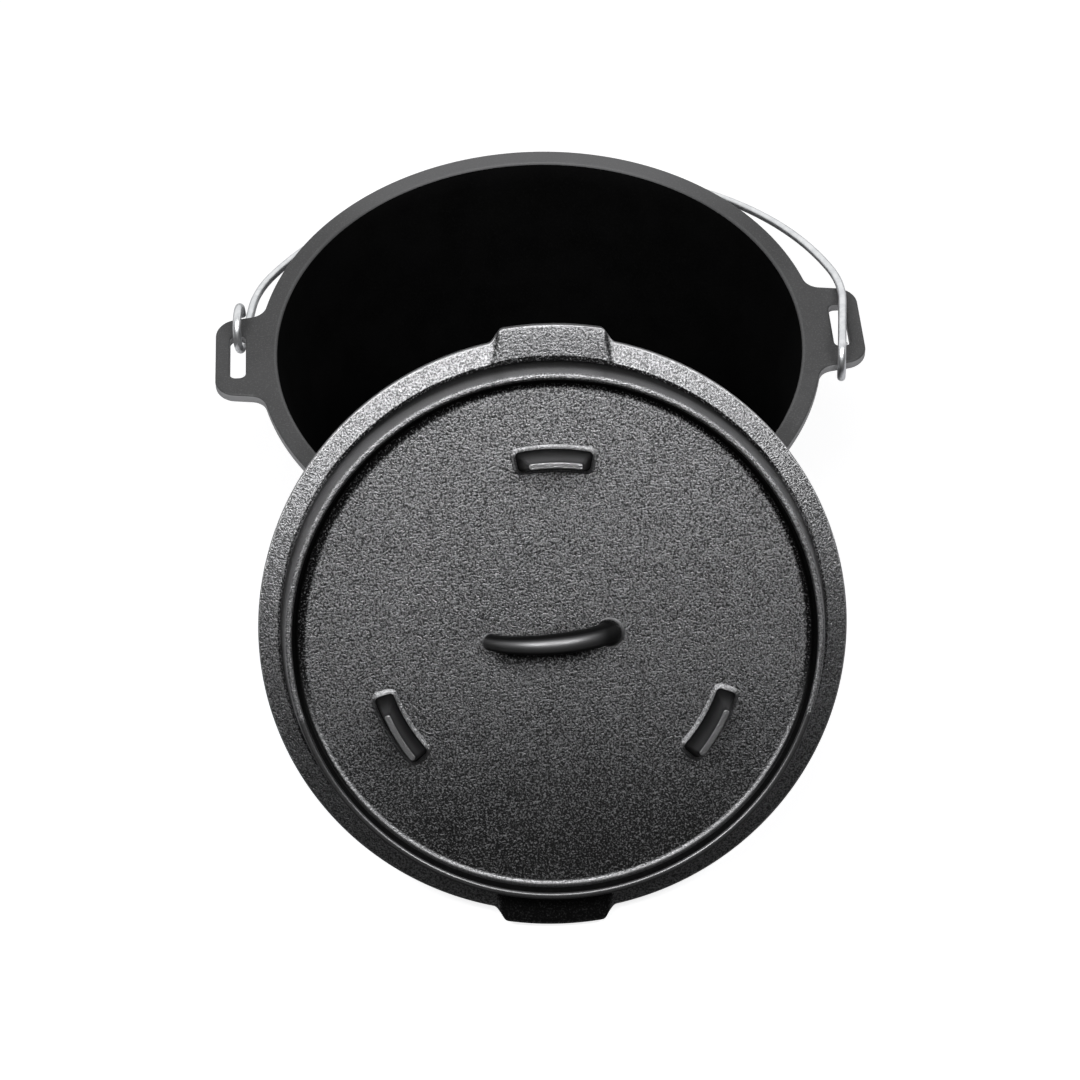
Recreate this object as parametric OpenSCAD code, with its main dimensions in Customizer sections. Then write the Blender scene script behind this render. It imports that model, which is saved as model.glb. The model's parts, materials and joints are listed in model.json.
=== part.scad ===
// Camp dutch oven: a cast pot on three legs with two slotted ears, a cast lid leaning on the rim,
// and a wire bail. Millimetres, +Z up. The origin is the centre of the pot's flat underside.
// The ears lie along X, and the lid stands on the ground and leans on the rim at -Y.

/* [Pot] */
// Inner radius of the mouth
mouth_r = 150; // [130:1:175]
// Height of the pot, underside to rim
pot_h = 160; // [140:1:180]
// Thickness of the side wall
wall = 5.5; // [4.5:0.5:7]
// Thickness of the floor
floor_t = 6; // [5:0.5:9]
// Lean of the side wall from upright, in degrees
wall_draft = 14; // [10:0.5:16]
// Inner radius where the wall turns into the floor
base_round = 35; // [25:1:45]

/* [Legs] */
// Height of a leg, ground to underside
leg_h = 18; // [12:1:30]
// Radius of a leg at the ground
leg_tip_r = 8; // [6:0.5:10]
// Radius of a leg at the underside
leg_root_r = 11; // [8:0.5:14]
// Radius of the circle that the legs stand on
legs_r = 82; // [60:1:86]

/* [Rim and ears] */
// Width of the flat rim
rim_w = 10.7; // [9:0.1:14]
// Thickness of the rim's lip
lip_t = 6; // [5:0.5:9]
// Radius of the hollow under the lip
lip_fillet = 4; // [2:0.5:5]
// Radius of the rim's two top edges and the lip's lower edge
edge_round = 1.2; // [0.6:0.1:2]
// How far an ear reaches past the rim
ear_reach = 24; // [21:0.5:32]
// Length of an ear at its outer end
ear_len = 57; // [50:1:70]
// How much an ear widens on each side towards the rim
ear_spread = 3.5; // [0:0.5:6]
// Thickness of an ear
ear_t = 6.5; // [5:0.5:9]
// Radius of an ear's outer corners
ear_corner = 10; // [4:0.5:14]
// Radius of the hollow where an ear meets the rim
ear_fillet = 10; // [5:0.5:16]
// Width of the slot through an ear
slot_w = 9; // [8:0.5:12]
// Length of the slot
slot_len = 33; // [30:0.5:38]
// Radius of the slot's corners
slot_corner = 3.6; // [2:0.1:4]
// Width of the bar outside the slot
outer_bar = 8.2; // [6:0.1:12]

/* [Lid] */
// How far the lid's edge stays inside the rim's edge
lid_inset = 0.7; // [0:0.1:3]
// Thickness of the flange at its edge
flange_t = 6; // [5:0.5:8]
// Width of the sloping flange
flange_w = 12.3; // [9:0.1:16]
// Rise of the flange towards the middle
flange_rise = 3; // [1.5:0.1:5]
// Height of the upright wall above the flange
step_h = 25; // [18:0.5:32]
// How far that wall leans in over its height
step_lean = 3.6; // [2:0.1:6]
// Width of the crest round the coal tray
crest_w = 3.2; // [2.6:0.1:6]
// Depth of the coal tray
tray_depth = 9.5; // [6:0.5:13]
// How far the tray's wall leans in
tray_lean = 2.3; // [1:0.1:4]
// Thickness of the top plate
plate_t = 5; // [4.5:0.5:7]
// Depth of the locating ring below the seat
ring_drop = 3.5; // [2:0.5:6]
// Clearance of the locating ring in the mouth
ring_gap = 1.8; // [1:0.1:3]
// Thickness of the locating ring
ring_t = 5.4; // [4:0.1:6]
// Radius of the lid's small edges
lid_round = 1.1; // [0.6:0.1:1.2]

/* [Lifting tabs] */
// How far a tab reaches past the flange
tab_reach = 6.5; // [4:0.5:12]
// Width of a tab's face at its outer end
tab_end_w = 54; // [40:1:70]
// Width of a tab's face at the wall
tab_root_w = 62; // [48:1:80]
// Height of a tab's face above the seat
tab_h = 8.5; // [7:0.5:9]
// How far a tab's sides lean out over its height
tab_lean = 3; // [1:0.5:5]

/* [Feet and handle] */
// Radius of the circle that the three feet stand on
feet_r = 97.5; // [70:0.5:110]
// Height of a foot above the plate
foot_h = 24; // [20:0.5:36]
// Length of a foot at its root
foot_len = 40; // [34:1:60]
// Length of a foot at its tip
foot_tip_len = 28.5; // [20:0.5:33]
// Width of a foot at its root
foot_w = 10; // [8:0.5:16]
// Width of a foot at its tip
foot_tip_w = 3.5; // [3:0.5:7]
// Thickness of the handle
handle_d = 11.5; // [9:0.5:13]
// Distance between the handle's two roots
handle_span = 64; // [54:1:90]
// How far the handle stays below the tips of the feet
handle_below = 1; // [0.5:0.1:4]
// Extra radius of the handle's roots
root_flare = 2.6; // [1:0.1:5]
// Height of the handle's roots
root_h = 5; // [3:0.5:8]
// Sideways place of the handle
handle_x = -2.6; // [-6:0.1:6]
// Turn of the handle from the line square to the tabs, in degrees
handle_turn = 4; // [-10:0.5:10]

/* [Bail] */
// Diameter of the wire
wire_d = 4.8; // [4:0.1:5]
// Clearance between a hook and the bar that it holds
hook_gap = 1; // [1:0.1:2]
// How far the hooks' centre lies above the middle of an ear
hook_lift = 1.75; // [1:0.05:2]
// How far round a hook goes, in degrees
hook_sweep = 268; // [250:1:272]
// How far a hook's centre lies inside the slot's middle
hook_inset = 2; // [1.4:0.1:2]
// Clearance of the bow past the lifting tabs
bow_gap = 1.8; // [1:0.1:30]
// How much larger the bow's radius is than half the bail's width
bow_flat = 11; // [7:0.5:20]
// Radius of the bail's shoulders
shoulder_r = 72; // [60:1:80]

/* [Arrangement] */
// Lean of the lid from flat, in degrees
lid_lean = 52; // [46:0.5:58]
// Turn of the lid about its own axis, in degrees
lid_turn = -2.4; // [-6:0.1:6]
// Sideways place of the lid
lid_x = -3.6; // [-8:0.1:8]
// Clearance between pieces that rest on each other
rest_gap = 0.3; // [0.2:0.05:0.6]

/* [Hidden] */
$fn = 96;
overlap = 1;
far = 1000;

// Pot: places on its profile
rim_r = mouth_r + rim_w;
lip_z = pot_h - lip_t;
function inner_r(z) = mouth_r - (pot_h - z) * tan(wall_draft);
function outer_r(z) = inner_r(z) + wall / cos(wall_draft);

// Ears: the slot's place, and the bars at its two ends that the hooks hold
ear_x = rim_r + ear_reach;
slot_x = ear_x - outer_bar - slot_w / 2;
ear_root_r = mouth_r + wall / 2;
ear_slope = ear_spread / ear_reach;
function ear_half(x) = ear_len / 2 + (ear_x - x) * ear_slope;
hook_x = slot_x - hook_inset;
end_bar = ear_half(hook_x) - slot_len / 2;
end_bar_y = (ear_half(hook_x) + slot_len / 2) / 2;

// Ears: the line of the +Y side, and the hollow between it and the rim
side_out = [ear_slope, 1] / norm([ear_slope, 1]);
side_along = [side_out.y, -side_out.x];
side_d = side_out * [ear_x, ear_len / 2];
ear_root = side_out * side_d + side_along * sqrt(pow(ear_root_r, 2) - pow(side_d, 2));
fillet_d = side_d + ear_fillet;
fillet_mid = side_out * fillet_d + side_along * sqrt(pow(rim_r + ear_fillet, 2) - pow(fillet_d, 2));
fillet_foot = fillet_mid - side_out * (ear_fillet + overlap);
fillet_root = fillet_mid * ear_root_r / (rim_r + ear_fillet);
fillet_bite = 0.01;

// Lid: radii outwards to inwards, and heights above its seat
lid_r = rim_r - lid_inset;
step_r = lid_r - flange_w;
crest_r = step_r - step_lean;
tray_r = crest_r - crest_w;
plate_r = tray_r - tray_lean;
ring_r = mouth_r - ring_gap;
hollow_r = ring_r - ring_t;
step_z = flange_t + flange_rise;
crest_z = step_z + step_h;
plate_z = crest_z - tray_depth;
under_z = plate_z - plate_t;
hollow_top_r = hollow_r - step_lean;
hollow_round = 6;
tab_r = lid_r + tab_reach;

// Feet and handle
foot_tip_z = plate_z + foot_h;
foot_end_lean = atan2((foot_len - foot_tip_len) / 2, foot_h);
foot_angle = 2 * asin(foot_len / 2 / (feet_r - foot_w / 2)) + 2;
handle_rise = foot_h - handle_below - handle_d / 2;
handle_r = (pow(handle_span / 2, 2) + pow(handle_rise, 2)) / (2 * handle_rise);
handle_axis_z = plate_z + handle_rise - handle_r;
handle_sink = 1.5;
handle_end = asin((plate_z - handle_sink - handle_axis_z) / handle_r);

// Bail: hooks on a skewed hinge line, from the rear bar at -X to the front bar at +X
hook_r = norm([end_bar / 2, ear_t / 2 + hook_lift]) + hook_gap + wire_d / 2;
hinge_z = pot_h - ear_t / 2 + hook_lift;
hinge_half = norm([hook_x, end_bar_y]);
hinge_skew = atan2(end_bar_y, hook_x);
bail_half_w = norm([hinge_half, hook_r]);
bail_roll = atan2(hook_r, hinge_half);
bow_top = tab_r + bow_gap + wire_d / 2;
bow_r = bail_half_w + bow_flat;
bow_mid = bow_top - bow_r;
leg_len = bow_mid + sqrt(pow(bow_r - shoulder_r, 2) - pow(bail_half_w - shoulder_r, 2));
shoulder_turn = atan2(leg_len - bow_mid, bail_half_w - shoulder_r);
bend_swell = 0.15;
bend_end = 0.4;
hook_end = asin(bend_end / hook_r);
shoulder_end = asin(bend_end / shoulder_r);
bow_end = asin(bend_end / bow_r);

// The bail drops back until its upper leg lies on the rear edge of the +X ear
ear_edge_run = (ear_half(slot_x + slot_w / 2) + end_bar_y) / cos(hinge_skew);
leg_rest_h = pot_h - hinge_z + rest_gap + wire_d / 2;
bail_drop = acos(leg_rest_h / norm([hook_r, ear_edge_run])) - atan2(ear_edge_run, hook_r);

// The lid stands on its lower tab, with the rim's front edge against the underside of its plate
lid_mid_z = tab_r * sin(lid_lean) - leg_h;
lid_mid_y = ((lid_mid_z - pot_h) * cos(lid_lean) + under_z - rest_gap) / sin(lid_lean) - rim_r;

// Corner rounding: the length of each straight cut off, and the centre of the arc
function unit(v) = v / norm(v);
function cross_2d(a, b) = a.x * b.y - a.y * b.x;
function corner_cut(a, b, r) = r / tan(acos(a * b) / 2);
function corner_mid(a, b, r) = unit(a + b) * r / sin(acos(a * b) / 2);

// A polygon, counter-clockwise, whose corners take the radii given, outer and inner corners alike
module rounded_polygon(points, radii) {
    count = len(points);
    to_last = [for (i = [0:count - 1]) unit(points[(i + count - 1) % count] - points[i])];
    to_next = [for (i = [0:count - 1]) unit(points[(i + 1) % count] - points[i])];
    module corner(i) {
        cut = corner_cut(to_last[i], to_next[i], radii[i]);
        mid = points[i] + corner_mid(to_last[i], to_next[i], radii[i]);
        difference() {
            polygon([points[i], points[i] + to_next[i] * cut, mid, points[i] + to_last[i] * cut]);
            translate(mid) circle(r = radii[i]);
        }
    }
    difference() {
        union() {
            polygon(points);
            for (i = [0:count - 1])
                if (radii[i] > 0 && cross_2d(to_last[i], to_next[i]) > 0) corner(i);
        }
        for (i = [0:count - 1])
            if (radii[i] > 0 && cross_2d(to_last[i], to_next[i]) < 0) corner(i);
    }
}

// A rectangle about the origin with round corners
module rounded_box(size, r) {
    points = [[-size.x, -size.y], [size.x, -size.y], [size.x, size.y], [-size.x, size.y]] / 2;
    rounded_polygon(points, [r, r, r, r]);
}

module pot_profile() {
    rounded_polygon(
        [[0, 0], [outer_r(0), 0], [outer_r(lip_z), lip_z], [rim_r, lip_z],
         [rim_r, pot_h], [mouth_r, pot_h], [inner_r(floor_t), floor_t], [0, floor_t]],
        [0, base_round + wall, lip_fillet, edge_round, edge_round, edge_round, base_round, 0]);
}

// An ear seen from above, on the +X side
module ear_plan() {
    difference() {
        union() {
            rounded_polygon(
                [[ear_root.x, -ear_root.y], [ear_x, -ear_len / 2], [ear_x, ear_len / 2], ear_root],
                [0, ear_corner, ear_corner, 0]);
            for (side = [0, 1]) mirror([0, side]) difference() {
                polygon([[ear_root.x, 0], [fillet_foot.x, 0], fillet_foot, fillet_mid, fillet_root]);
                translate(fillet_mid) circle(r = ear_fillet + fillet_bite);
            }
        }
        circle(r = ear_root_r);
        translate([slot_x, 0]) rounded_box([slot_w, slot_len], slot_corner);
    }
}

// The legs taper to the ground, and their roots reach into the floor
module legs() {
    for (turn = [90, 210, 330]) rotate([0, 0, turn]) translate([legs_r, 0, -leg_h])
        cylinder(h = leg_h + floor_t / 2, r1 = leg_tip_r, r2 = leg_root_r);
}

module pot() {
    color("#3b3c3e") {
        rotate_extrude() pot_profile();
        legs();
        for (turn = [0, 180])
            rotate([0, 0, turn]) translate([0, 0, pot_h - ear_t]) linear_extrude(ear_t) ear_plan();
    }
}

module lid_profile() {
    rounded_polygon(
        [[0, under_z], [hollow_top_r, under_z], [hollow_r, -ring_drop], [ring_r, -ring_drop],
         [ring_r, 0], [lid_r, 0], [lid_r, flange_t], [step_r, step_z], [crest_r, crest_z],
         [tray_r, crest_z], [plate_r, plate_z], [0, plate_z]],
        [0, hollow_round, lid_round, lid_round, 0, lid_round, lid_round, lid_round, lid_round,
         lid_round, lid_round, 0]);
}

// A lifting tab at +Y, with an outer end that follows the lid's edge
module tab() {
    root_y = step_r - step_lean / 2;
    side_lean = atan2(tab_lean, tab_h);
    side_turn = atan2((tab_root_w - tab_end_w) / 2, tab_r - root_y);
    difference() {
        intersection() {
            cylinder(r = tab_r, h = tab_h);
            translate([-tab_root_w, root_y, 0]) cube([2 * tab_root_w, tab_r - root_y, tab_h]);
        }
        for (side = [0, 1]) mirror([side, 0, 0])
            translate([tab_root_w / 2, root_y, tab_h]) rotate([0, 0, side_turn])
                rotate([0, -side_lean, 0]) translate([0, -far / 2, -far / 2]) cube(far);
    }
}

// One foot, at +Y
module foot() {
    difference() {
        rotate([0, 0, 90 - foot_angle / 2]) rotate_extrude(angle = foot_angle) polygon(
            [[feet_r - foot_w / 2, plate_z - overlap], [feet_r + foot_w / 2, plate_z - overlap],
             [feet_r + foot_w / 2, plate_z], [feet_r + foot_tip_w / 2, foot_tip_z],
             [feet_r - foot_tip_w / 2, foot_tip_z], [feet_r - foot_w / 2, plate_z]]);
        for (side = [0, 1]) mirror([side, 0, 0])
            translate([foot_len / 2, 0, plate_z]) rotate([0, -foot_end_lean, 0])
                translate([0, 0, -far / 2]) cube(far);
    }
}

module handle() {
    translate([0, 0, handle_axis_z]) rotate([90, 0, 0]) rotate([0, 0, handle_end])
        rotate_extrude(angle = 180 - 2 * handle_end) translate([handle_r, 0]) circle(d = handle_d);
    for (side = [-1, 1]) translate([side * handle_span / 2, 0, plate_z - overlap])
        cylinder(h = root_h + overlap, r1 = handle_d / 2 + root_flare, r2 = handle_d / 2);
}

// The lid flat, with its seat at z = 0
module lid_flat() {
    rotate_extrude() lid_profile();
    for (turn = [0, 180]) rotate([0, 0, turn]) tab();
    for (turn = [0, 120, 240]) rotate([0, 0, turn]) foot();
    translate([handle_x, 0, 0]) rotate([0, 0, handle_turn]) handle();
}

module lid() {
    color("#2c2d2f") translate([lid_x, lid_mid_y, lid_mid_z]) rotate([lid_lean, 0, 0])
        rotate([0, 0, lid_turn]) lid_flat();
}

// A piece of wire bent round an axis at the origin
module wire_bend(r, turn) {
    rotate_extrude(angle = turn) translate([r, 0]) circle(d = wire_d);
}

// The slight swelling where the wire's bend changes plane or radius
module bend_joint() {
    sphere(d = wire_d + 2 * bend_swell);
}

// One side of the bail, lying level: the hook at +X, the straight leg and the shoulder
module bail_side() {
    translate([hinge_half, 0, 0]) rotate([0, 90, 0]) rotate([0, 0, 180 + hook_end])
        wire_bend(hook_r, hook_sweep - hook_end);
    rotate([0, -bail_roll, 0]) translate([bail_half_w, 0, 0]) {
        bend_joint();
        translate([0, bend_end, 0]) rotate([-90, 0, 0]) cylinder(d = wire_d, h = leg_len - bend_end);
        translate([0, leg_len, 0]) translate([-shoulder_r, 0, 0]) {
            wire_bend(shoulder_r, shoulder_turn - shoulder_end);
            rotate([0, 0, shoulder_turn]) translate([shoulder_r, 0, 0]) bend_joint();
        }
    }
}

// The long curve between the two shoulders
module bow() {
    rotate([0, -bail_roll, 0]) translate([0, bow_mid, 0]) rotate([0, 0, shoulder_turn + bow_end])
        wire_bend(bow_r, 180 - 2 * (shoulder_turn + bow_end));
}

module bail() {
    color("#c9cdd0") translate([0, 0, hinge_z]) rotate([0, 0, -hinge_skew]) rotate([-bail_drop, 0, 0]) {
        for (turn = [0, 180]) rotate([0, turn, 0]) bail_side();
        bow();
    }
}

pot();
lid();
bail();
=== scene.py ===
import json
import math

import bpy
import numpy as np
from mathutils import Matrix, Vector
from mathutils.geometry import delaunay_2d_cdt

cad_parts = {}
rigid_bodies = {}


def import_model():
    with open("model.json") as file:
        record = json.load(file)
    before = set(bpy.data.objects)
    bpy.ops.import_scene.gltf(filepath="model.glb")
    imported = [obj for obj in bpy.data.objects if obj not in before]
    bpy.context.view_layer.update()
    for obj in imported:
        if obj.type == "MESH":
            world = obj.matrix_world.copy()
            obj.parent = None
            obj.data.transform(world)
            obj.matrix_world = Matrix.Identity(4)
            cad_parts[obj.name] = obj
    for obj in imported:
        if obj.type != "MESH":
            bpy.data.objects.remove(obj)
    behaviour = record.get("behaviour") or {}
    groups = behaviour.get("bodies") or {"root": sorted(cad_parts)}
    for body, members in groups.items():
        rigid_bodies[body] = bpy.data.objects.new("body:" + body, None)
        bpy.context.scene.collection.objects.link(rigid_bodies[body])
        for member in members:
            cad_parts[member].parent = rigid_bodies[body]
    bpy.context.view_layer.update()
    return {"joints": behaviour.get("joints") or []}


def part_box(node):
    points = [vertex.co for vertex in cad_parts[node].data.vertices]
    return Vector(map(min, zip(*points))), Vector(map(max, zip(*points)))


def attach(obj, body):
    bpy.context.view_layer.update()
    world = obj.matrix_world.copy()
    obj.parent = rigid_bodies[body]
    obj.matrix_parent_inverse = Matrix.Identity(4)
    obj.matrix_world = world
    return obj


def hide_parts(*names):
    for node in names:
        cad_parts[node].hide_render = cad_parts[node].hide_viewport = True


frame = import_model()
mm = 0.001  # sizes below are millimetres, meshes are metres
scene = bpy.context.scene
joints = {joint["name"]: joint for joint in frame["joints"]}
potLow, potHigh = (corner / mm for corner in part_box("pot"))
rimZ = potHigh.z
groundZ = potLow.z


def addNode(tree, kind, settings=None, sockets=None):
    made = tree.nodes.new(kind)
    for name, value in (settings or {}).items():
        setattr(made, name, value)
    for name, value in (sockets or {}).items():
        if isinstance(value, bpy.types.NodeSocket):
            tree.links.new(value, made.inputs[name])
        else:
            made.inputs[name].default_value = value
    return made.outputs


class Shade:  # one output of a shader tree, so that node maths reads as Python
    def __init__(self, tree, socket=None):
        self.tree = tree
        self.socket = socket

    def node(self, kind, settings=None, sockets=None, out=0):
        given = {name: value.socket if isinstance(value, Shade) else value
                 for name, value in (sockets or {}).items()}
        outputs = addNode(self.tree, "ShaderNode" + kind, settings, given)
        return Shade(self.tree, outputs[out] if outputs else None)

    def math(self, operation, *values):
        return self.node("Math", {"operation": operation}, dict(enumerate(values)))

    def __add__(self, other):
        return self.math("ADD", self, other)

    def __radd__(self, other):
        return self.math("ADD", other, self)

    def __sub__(self, other):
        return self.math("SUBTRACT", self, other)

    def __rsub__(self, other):
        return self.math("SUBTRACT", other, self)

    def __mul__(self, other):
        return self.math("MULTIPLY", self, other)

    def __rmul__(self, other):
        return self.math("MULTIPLY", other, self)

    def rise(self, low, high):  # 0 below low, 1 above high, smooth between
        return self.node("MapRange", {"interpolation_type": "SMOOTHSTEP"}, {0: self, 1: low, 2: high})

    def blend(self, low, high):  # fades one colour into another
        return self.node("Mix", {"data_type": "RGBA"}, {0: self, 6: low, 7: high}, out=2)


def startMaterial(name):
    material = bpy.data.materials.new(name)
    material.use_nodes = True
    material.node_tree.nodes.clear()
    return material, Shade(material.node_tree)


def grey(level, blue=1.02):  # faintly blue
    return (level, level, level * blue, 1)


def noise(shade, place, size, detail=2.0, roughness=0.6):  # size of the spots in millimetres
    return shade.node("TexNoise", None, {"Vector": place, "Scale": 1 / (size * mm), "Detail": detail,
                                         "Roughness": roughness}, out="Fac")


def castIron(name, look):
    material, shade = startMaterial(name)
    place = shade.node("TexCoord", out="Object")
    grain, worn, paintedShade = (shade.node("Attribute", {"attribute_name": trait}, out="Fac")
                         for trait in ("grain", "worn", "paintedShade"))
    sand = noise(shade, place, look["sandSize"])  # the mould's sand, as bumps
    dust = noise(shade, place, look["dustSize"])
    cloud = noise(shade, place, look["cloudSize"], detail=3.0)  # slow changes of tone
    bare = sand - paintedShade * look["shadeCover"]  # fewer specks stand out of the painted shade
    speck = bare.rise(look["speckLow"], look["speckHigh"]) * grain
    tone = cloud.rise(look["cloudLow"], look["cloudHigh"]).blend(grey(look["dark"]), grey(look["light"]))
    tone = speck.blend(tone, grey(look["speck"]))
    # paler where worn, and paler where a painted highlight stands in for light
    tone = (worn * look["wearAndSheenShare"]).blend(tone, grey(look["worn"]))
    # darkens towards the painted shade's colour, which stands in for shade and shadow
    tone = (paintedShade * (1 - speck * look["shadeSpeck"])).blend(tone, grey(look["paintedShade"]))
    height = sand * (grain * look["sandHigh"] + look["smoothHigh"]) + dust * look["dustHigh"]
    bump = shade.node("Bump", None, {"Strength": 1.0, "Distance": mm, "Height": height}, out="Normal")
    rough = cloud * look["roughSpread"] + look["rough"] + paintedShade * look["shadeRough"]
    iron = shade.node("BsdfPrincipled", None, {
        "Base Color": tone, "Roughness": rough, "Normal": bump, "Specular IOR Level": look["gloss"],
        "Metallic": look["metal"]})
    shade.node("OutputMaterial", None, {"Surface": iron})
    return material


def zincWire(name, look):
    material, shade = startMaterial(name)
    place = shade.node("TexCoord", out="Object")
    spangle = noise(shade, place, look["spangle"])
    draw = noise(shade, place, look["scratch"], detail=3.0)
    tone = spangle.rise(look["spangleLow"], look["spangleHigh"]).blend(look["dull"], look["bright"])
    bump = shade.node("Bump", None, {"Strength": 1.0, "Distance": mm, "Height": draw * look["scratchHigh"]},
                      out="Normal")
    rough = spangle * look["roughSpread"] + look["rough"]
    zinc = shade.node("BsdfPrincipled", None, {
        "Base Color": tone, "Metallic": 1.0, "Normal": bump, "Roughness": rough})
    shade.node("OutputMaterial", None, {"Surface": zinc})
    return material


def addMesh(name, points, faces, material, traits):
    mesh = bpy.data.meshes.new(name)
    mesh.from_pydata((np.asarray(points) * mm).tolist(), [], faces)
    for trait, values in traits.items():
        layer = mesh.attributes.new(trait, "FLOAT", "POINT")
        layer.data.foreach_set("value", np.asarray(values, np.float32))
    mesh.polygons.foreach_set("use_smooth", np.ones(len(mesh.polygons), bool))
    mesh.materials.append(material)
    mesh.update()
    piece = bpy.data.objects.new(name, mesh)
    scene.collection.objects.link(piece)
    return piece


def smooth(low, high, value):
    share = np.clip((value - low) / (high - low), 0, 1)
    return share * share * (3 - 2 * share)


def unit(vector):
    return vector / np.linalg.norm(vector)


# (across, up, radius) corners to points, with 1 on bends to the right, -1 on bends to the left and 0 between
def roundedPath(corners, step, bendStep=12.0):
    points, bends = [np.array(corners[0][:2], float)], [0.0]
    ways = [np.array(corner[:2], float) for corner in corners]
    for before, here, after, corner in zip(ways, ways[1:], ways[2:], corners[1:]):
        back, on, radius = unit(before - here), unit(after - here), corner[2]
        if not radius:
            addLine(points, bends, here, step)
            continue
        half = math.acos(float(np.clip(back @ on, -1, 1))) / 2
        middle = here + unit(back + on) * radius / math.sin(half)
        sweep = math.pi - 2 * half
        side = -1.0 if back[0] * on[1] - back[1] * on[0] < 0 else 1.0
        count = max(3, round(math.degrees(sweep) / bendStep))
        addLine(points, bends, here + back * radius / math.tan(half), step)
        first = points[-1] - middle
        for turn in np.linspace(0, side * -sweep, count + 1)[1:]:
            cos, sin = math.cos(turn), math.sin(turn)
            points.append(middle + np.array([first[0] * cos - first[1] * sin,
                                             first[0] * sin + first[1] * cos]))
            bends.append(side)
        bends[-count - 1] = side
    addLine(points, bends, ways[-1], step)
    return np.array(points), np.array(bends)


def addLine(points, bends, end, step, near=0.35):  # with a point just inside each end
    start = points[-1]
    length = np.linalg.norm(end - start)
    along = [length]
    if length > 3 * near:
        count = max(2, math.ceil((length - 2 * near) / step) + 1)
        along = [*np.linspace(near, length - near, count), length]
    points += [start + (end - start) * (far / length) for far in along]
    bends += [0.0] * len(along)


def gridFaces(rows, columns, first=0):  # closed round each row, counter-clockwise from outside
    return [[first + r * columns + c, first + (r + 1) * columns + c,
             first + (r + 1) * columns + (c + 1) % columns, first + r * columns + (c + 1) % columns]
            for r in range(rows - 1) for c in range(columns)]


def turned(profile, angles):  # spins (across, up) points about the upright axis
    across, up = profile[:, 0][:, None], profile[:, 1][:, None]
    return np.stack([across * np.cos(angles), across * np.sin(angles),
                     up + np.zeros_like(angles)], axis=-1).reshape(-1, 3)


def startTree(name, inputs):
    tree = bpy.data.node_groups.new(name, "GeometryNodeTree")
    tree.interface.new_socket("Geometry", in_out="INPUT", socket_type="NodeSocketGeometry")
    for label, kind in inputs.items():
        tree.interface.new_socket(label, in_out="INPUT", socket_type="NodeSocket" + kind)
    tree.interface.new_socket("Geometry", in_out="OUTPUT", socket_type="NodeSocketGeometry")
    return tree, tree.nodes.new("NodeGroupInput").outputs


def endTree(tree, shape, material):
    real = addNode(tree, "GeometryNodeRealizeInstances", None, {"Geometry": shape})
    done = addNode(tree, "GeometryNodeSetMaterial", None, {"Geometry": real[0], "Material": material})
    addNode(tree, "NodeGroupOutput", None, {0: done[0]})


def grow(piece, tree, values):  # runs a tree on a piece and keeps its result as a plain mesh
    modifier = piece.modifiers.new(tree.name, "NODES")
    modifier.node_group = tree
    for item in tree.interface.items_tree:
        if item.in_out == "INPUT" and item.name in values:
            modifier[item.identifier] = values[item.name]
    bpy.context.view_layer.update()
    seen = piece.evaluated_get(bpy.context.evaluated_depsgraph_get())
    mesh = bpy.data.meshes.new_from_object(seen)
    piece.modifiers.remove(modifier)
    old, piece.data = piece.data, mesh
    mesh.name = old.name + "Mesh"
    bpy.data.meshes.remove(old)
    return piece


def ringTree(name):  # copies a shape round the upright axis
    tree, given = startTree(name, {"Count": "Int", "Turn": "Float", "Material": "Material"})
    spots = addNode(tree, "GeometryNodePoints", None, {"Count": given["Count"]})
    index = addNode(tree, "GeometryNodeInputIndex")
    turn = addNode(tree, "ShaderNodeMath", {"operation": "MULTIPLY"}, {0: index[0], 1: given["Turn"]})
    spin = addNode(tree, "ShaderNodeCombineXYZ", None, {"Z": turn[0]})
    copies = addNode(tree, "GeometryNodeInstanceOnPoints", None, {
        "Points": spots[0], "Instance": given["Geometry"], "Rotation": spin[0]})
    endTree(tree, copies[0], given["Material"])
    return tree


def wireTree(name):  # a round wire along the piece's edges, thinner where wireShare is below 1
    tree, given = startTree(name, {"Diameter": "Float", "Sides": "Int", "Material": "Material"})
    path = addNode(tree, "GeometryNodeMeshToCurve", None, {"Mesh": given["Geometry"]})
    share = addNode(tree, "GeometryNodeInputNamedAttribute", {"data_type": "FLOAT"}, {"Name": "wireShare"})
    sized = addNode(tree, "GeometryNodeSetCurveRadius", None, {"Curve": path[0], "Radius": share[0]})
    half = addNode(tree, "ShaderNodeMath", {"operation": "MULTIPLY"}, {0: given["Diameter"], 1: 0.5})
    ring = addNode(tree, "GeometryNodeCurvePrimitiveCircle", None, {
        "Resolution": given["Sides"], "Radius": half[0]})
    tube = addNode(tree, "GeometryNodeCurveToMesh", None, {
        "Curve": sized[0], "Profile Curve": ring[0], "Fill Caps": True})
    even = addNode(tree, "GeometryNodeSetShadeSmooth", None, {"Geometry": tube[0], "Shade Smooth": True})
    endTree(tree, even[0], given["Material"])
    return tree


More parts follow.
